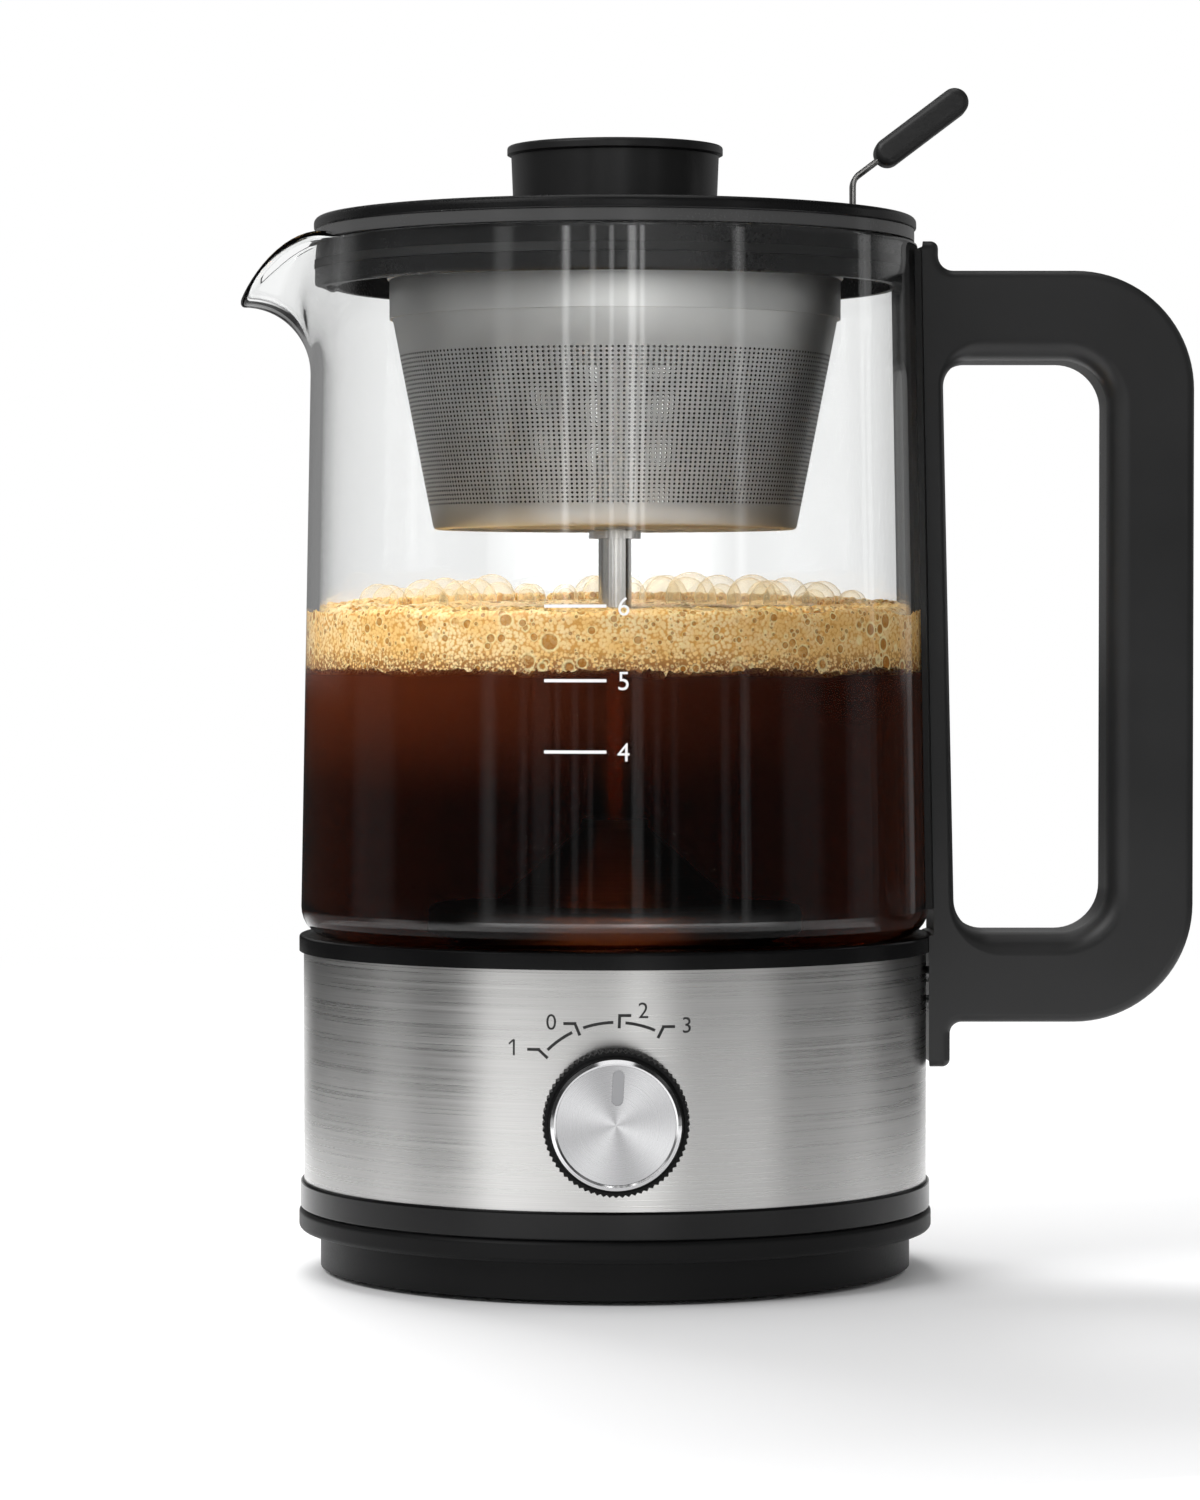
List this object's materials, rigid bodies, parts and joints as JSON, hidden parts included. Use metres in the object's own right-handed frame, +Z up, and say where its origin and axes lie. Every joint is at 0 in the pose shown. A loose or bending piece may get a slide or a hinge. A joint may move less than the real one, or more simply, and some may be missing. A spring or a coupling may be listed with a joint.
{
  "type": "electric percolator",
  "caption": "Glass coffee percolator on a cordless power base, with a steel heating base, control dial, D-shaped handle, lid with a thumb lever, and a perforated basket on a perk tube.",
  "frame": {"origin": "on the jug's axis, at the table, at the centre of the rubber foot ring", "axes": "+Z up, +X from the jug's axis towards the handle, -X towards the spout, -Y towards the dial"},
  "size_m": [0.1892, 0.1352, 0.2353],
  "materials": {
    "black_plastic": "satin moulded black",
    "gloss_black": "polished black",
    "lid_plastic": "dark grey moulded",
    "housing_plastic": "plain moulded, hidden",
    "black_rubber": "matt",
    "silicone": "soft sealing lip",
    "band_steel": "brushed round the band",
    "sheet_steel": "fine satin",
    "bright_steel": "polished",
    "screw_steel": "plain zinc-plated",
    "spun_aluminium": "spun face",
    "pointer_grey": "matt grey inlay",
    "contact_brass": "plain",
    "ceramic": "ivory",
    "glass": "clear"
  },
  "bodies": {
    "power_base": {"foot_ring": "black_rubber", "base_shell": "black_plastic", "base_plate": "black_plastic", "base_screws": "screw_steel", "base_connector": "black_plastic", "base_contacts": "contact_brass", "cord_gland": "black_rubber"},
    "coupling": {"jug_socket": "black_plastic", "socket_contacts": "contact_brass"},
    "jug": {"bottom_cover": "black_plastic", "cover_screws": "screw_steel", "trim_ring": "gloss_black", "base_tub": "housing_plastic", "steel_band": "band_steel", "collar_ring": "black_plastic", "heater_plate": "sheet_steel", "plate_seal": "silicone", "clamp_nut": "screw_steel", "heater_element": "screw_steel", "thermostat": "ceramic", "thermal_fuse": "ceramic", "rotary_switch": "ceramic", "switch_nut": "contact_brass", "glass_jug": "glass", "handle_grip": "black_plastic", "handle_pad": "black_rubber", "handle_screws": "screw_steel"},
    "dial": {"switch_shaft": "screw_steel", "dial_knob": "black_plastic", "dial_bevel": "bright_steel", "dial_face": "spun_aluminium", "dial_pointer": "pointer_grey"},
    "stem": {"perk_tube": "sheet_steel", "stop_ring": "sheet_steel", "tube_foot": "sheet_steel", "valve_seat": "sheet_steel"},
    "valve": {"valve_disc": "sheet_steel"},
    "basket": {"basket_collar": "sheet_steel", "basket_cup": "sheet_steel", "basket_floor": "sheet_steel", "basket_sleeve": "sheet_steel"},
    "spreader_plate": {"spreader": "sheet_steel"},
    "lid": {"lid_top": "black_plastic", "lid_body": "lid_plastic", "lid_seal": "black_rubber", "lid_knob": "black_plastic", "knob_screw": "screw_steel"},
    "lever": {"lever_wire": "bright_steel", "lever_grip": "black_plastic"}
  },
  "joints": [
    {"name": "jug_lift", "type": "slide", "parent": "power_base", "child": "coupling", "axis": [0, 0, 1], "range_m": [0, 0.06]},
    {"name": "jug_swivel", "type": "hinge", "parent": "coupling", "child": "jug", "pos_m": [0, 0, 0.0127], "axis": [0, 0, 1], "continuous": true},
    {"name": "dial_turn", "type": "hinge", "parent": "jug", "child": "dial", "pos_m": [0, -0.0628, 0.0355], "axis": [0, 1, 0], "range_deg": [-50, 25]},
    {"name": "stem_lift", "type": "slide", "parent": "jug", "child": "stem", "axis": [0, 0, 1], "range_m": [0, 0.16]},
    {"name": "valve_lift", "type": "slide", "parent": "stem", "child": "valve", "axis": [0, 0, 1], "range_m": [0, 0.002]},
    {"name": "basket_lift", "type": "slide", "parent": "stem", "child": "basket", "axis": [0, 0, 1], "range_m": [0, 0.07]},
    {"name": "spreader_lift", "type": "slide", "parent": "basket", "child": "spreader_plate", "axis": [0, 0, 1], "range_m": [0, 0.04]},
    {"name": "lid_lift", "type": "slide", "parent": "spreader_plate", "child": "lid", "axis": [0, 0, 1], "range_m": [0, 0.06]},
    {"name": "lever_press", "type": "hinge", "parent": "lid", "child": "lever", "pos_m": [0.0474, 0, 0.2026], "axis": [0, 1, 0], "range_deg": [0, 28], "stiffness_Nm_per_rad": 0.01, "springref_deg": -11.46}
  ]
}
